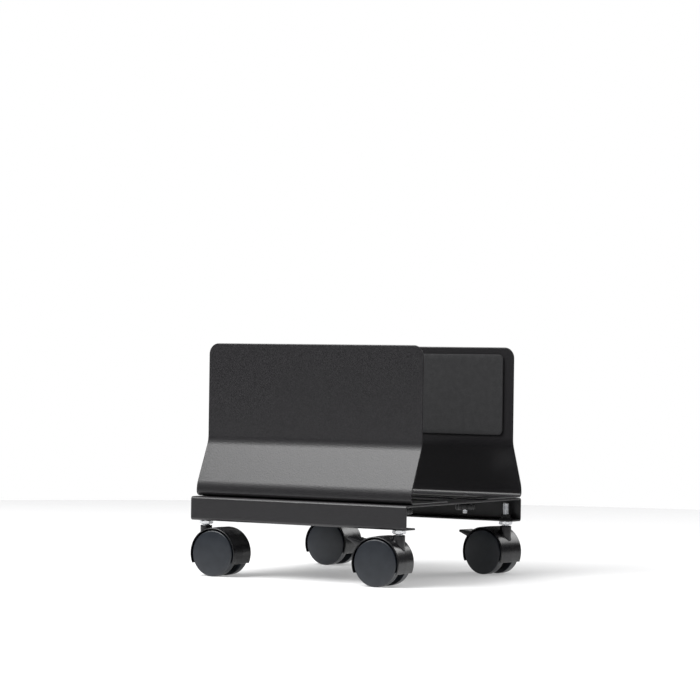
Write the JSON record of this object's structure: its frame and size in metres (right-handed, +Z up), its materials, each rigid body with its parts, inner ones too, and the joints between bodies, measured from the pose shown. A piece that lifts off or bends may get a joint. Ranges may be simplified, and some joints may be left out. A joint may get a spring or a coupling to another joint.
{
  "type": "cpu holder",
  "caption": "Rolling steel holder for a computer tower: two sliding side panels on a low tray, carried by twin-wheel casters.",
  "frame": {"origin": "on the floor under the middle of the tray", "axes": "+X from the tower front to its rear, +Y from its left side to its right, +Z up"},
  "size_m": [0.275, 0.2766, 0.254],
  "materials": {
    "powder_coat": "fine-textured black powder coat",
    "zinc": "bright zinc plate",
    "black_plastic": "satin moulded black",
    "wheel_plastic": "smooth charcoal",
    "foam": "closed-cell foam skin",
    "rubber": "ribbed rubber"
  },
  "bodies": {
    "base": {"base_tray": "powder_coat", "front_left_caster_stem": "zinc", "front_left_lock_nut": "zinc", "front_left_weld_nut": "powder_coat", "rear_left_caster_stem": "zinc", "rear_left_lock_nut": "zinc", "rear_left_weld_nut": "powder_coat", "front_right_caster_stem": "zinc", "front_right_lock_nut": "zinc", "front_right_weld_nut": "powder_coat", "rear_right_caster_stem": "zinc", "rear_right_lock_nut": "zinc", "rear_right_weld_nut": "powder_coat"},
    "left_side": {"left_side_panel": "powder_coat", "left_panel_pad": "foam", "left_anti_slip_strip": "rubber", "front_left_clamp_bolt": "zinc", "front_left_clamp_washer": "zinc", "rear_left_clamp_bolt": "zinc", "rear_left_clamp_washer": "zinc"},
    "right_side": {"right_side_panel": "powder_coat", "right_panel_pad": "foam", "right_anti_slip_strip": "rubber", "front_right_clamp_bolt": "zinc", "front_right_clamp_washer": "zinc", "rear_right_clamp_bolt": "zinc", "rear_right_clamp_washer": "zinc"},
    "front_left_nut": {"front_left_thumb_nut": "black_plastic"},
    "rear_left_nut": {"rear_left_thumb_nut": "black_plastic"},
    "front_right_nut": {"front_right_thumb_nut": "black_plastic"},
    "rear_right_nut": {"rear_right_thumb_nut": "black_plastic"},
    "front_left_caster": {"front_left_caster_housing": "black_plastic", "front_left_grip_ring": "zinc", "front_left_axle": "zinc"},
    "front_left_outer": {"front_left_outer_wheel": "wheel_plastic"},
    "front_left_inner": {"front_left_inner_wheel": "wheel_plastic"},
    "rear_left_caster": {"rear_left_caster_housing": "black_plastic", "rear_left_grip_ring": "zinc", "rear_left_axle": "zinc", "rear_left_brake_pin": "zinc"},
    "rear_left_outer": {"rear_left_outer_wheel": "wheel_plastic"},
    "rear_left_inner": {"rear_left_inner_wheel": "wheel_plastic"},
    "rear_left_brake": {"rear_left_brake_lever": "black_plastic"},
    "front_right_caster": {"front_right_caster_housing": "black_plastic", "front_right_grip_ring": "zinc", "front_right_axle": "zinc"},
    "front_right_outer": {"front_right_outer_wheel": "wheel_plastic"},
    "front_right_inner": {"front_right_inner_wheel": "wheel_plastic"},
    "rear_right_caster": {"rear_right_caster_housing": "black_plastic", "rear_right_grip_ring": "zinc", "rear_right_axle": "zinc", "rear_right_brake_pin": "zinc"},
    "rear_right_outer": {"rear_right_outer_wheel": "wheel_plastic"},
    "rear_right_inner": {"rear_right_inner_wheel": "wheel_plastic"},
    "rear_right_brake": {"rear_right_brake_lever": "black_plastic"}
  },
  "joints": [
    {"name": "left_panel_slide", "type": "slide", "parent": "base", "child": "left_side", "axis": [0, 1, 0], "range_m": [-0.006, 0.038]},
    {"name": "right_panel_slide", "type": "slide", "parent": "base", "child": "right_side", "axis": [0, -1, 0], "range_m": [-0.006, 0.038]},
    {"name": "front_left_thumb_nut_turn", "type": "hinge", "parent": "left_side", "child": "front_left_nut", "pos_m": [-0.095, -0.0625, 0.0777], "axis": [0, 0, 1], "range_deg": [0, 180]},
    {"name": "rear_left_thumb_nut_turn", "type": "hinge", "parent": "left_side", "child": "rear_left_nut", "pos_m": [0.095, -0.0625, 0.0777], "axis": [0, 0, 1], "range_deg": [0, 180]},
    {"name": "front_right_thumb_nut_turn", "type": "hinge", "parent": "right_side", "child": "front_right_nut", "pos_m": [-0.095, 0.0735, 0.0777], "axis": [0, 0, 1], "range_deg": [0, 180]},
    {"name": "rear_right_thumb_nut_turn", "type": "hinge", "parent": "right_side", "child": "rear_right_nut", "pos_m": [0.095, 0.0735, 0.0777], "axis": [0, 0, 1], "range_deg": [0, 180]},
    {"name": "front_left_swivel", "type": "hinge", "parent": "base", "child": "front_left_caster", "pos_m": [-0.1235, -0.115, 0.05], "axis": [0, 0, 1], "continuous": true},
    {"name": "front_left_outer_wheel_spin", "type": "hinge", "parent": "front_left_caster", "child": "front_left_outer", "pos_m": [-0.10453, -0.11401, 0.025], "axis": [-0.0523, 0.9986, 0], "continuous": true},
    {"name": "front_left_inner_wheel_spin", "type": "hinge", "parent": "front_left_caster", "child": "front_left_inner", "pos_m": [-0.10453, -0.11401, 0.025], "axis": [-0.0523, 0.9986, 0], "continuous": true},
    {"name": "rear_left_swivel", "type": "hinge", "parent": "base", "child": "rear_left_caster", "pos_m": [0.1235, -0.115, 0.05], "axis": [0, 0, 1], "continuous": true},
    {"name": "rear_left_outer_wheel_spin", "type": "hinge", "parent": "rear_left_caster", "child": "rear_left_outer", "pos_m": [0.10455, -0.11632, 0.025], "axis": [0.0698, -0.9976, 0], "continuous": true},
    {"name": "rear_left_inner_wheel_spin", "type": "hinge", "parent": "rear_left_caster", "child": "rear_left_inner", "pos_m": [0.10455, -0.11632, 0.025], "axis": [0.0698, -0.9976, 0], "continuous": true},
    {"name": "rear_left_brake_press", "type": "hinge", "parent": "rear_left_caster", "child": "rear_left_brake", "pos_m": [0.09058, -0.1173, 0.04], "axis": [0.0698, -0.9976, 0], "range_deg": [0, 9]},
    {"name": "front_right_swivel", "type": "hinge", "parent": "base", "child": "front_right_caster", "pos_m": [-0.1235, 0.115, 0.05], "axis": [0, 0, 1], "continuous": true},
    {"name": "front_right_outer_wheel_spin", "type": "hinge", "parent": "front_right_caster", "child": "front_right_outer", "pos_m": [-0.1045, 0.115, 0.025], "axis": [0, 1, 0], "continuous": true},
    {"name": "front_right_inner_wheel_spin", "type": "hinge", "parent": "front_right_caster", "child": "front_right_inner", "pos_m": [-0.1045, 0.115, 0.025], "axis": [0, 1, 0], "continuous": true},
    {"name": "rear_right_swivel", "type": "hinge", "parent": "base", "child": "rear_right_caster", "pos_m": [0.1235, 0.115, 0.05], "axis": [0, 0, 1], "continuous": true},
    {"name": "rear_right_outer_wheel_spin", "type": "hinge", "parent": "rear_right_caster", "child": "rear_right_outer", "pos_m": [0.10473, 0.11797, 0.025], "axis": [-0.1564, -0.9877, 0], "continuous": true},
    {"name": "rear_right_inner_wheel_spin", "type": "hinge", "parent": "rear_right_caster", "child": "rear_right_inner", "pos_m": [0.10473, 0.11797, 0.025], "axis": [-0.1564, -0.9877, 0], "continuous": true},
    {"name": "rear_right_brake_press", "type": "hinge", "parent": "rear_right_caster", "child": "rear_right_brake", "pos_m": [0.09091, 0.12016, 0.04], "axis": [-0.1564, -0.9877, 0], "range_deg": [-9, 0]}
  ]
}
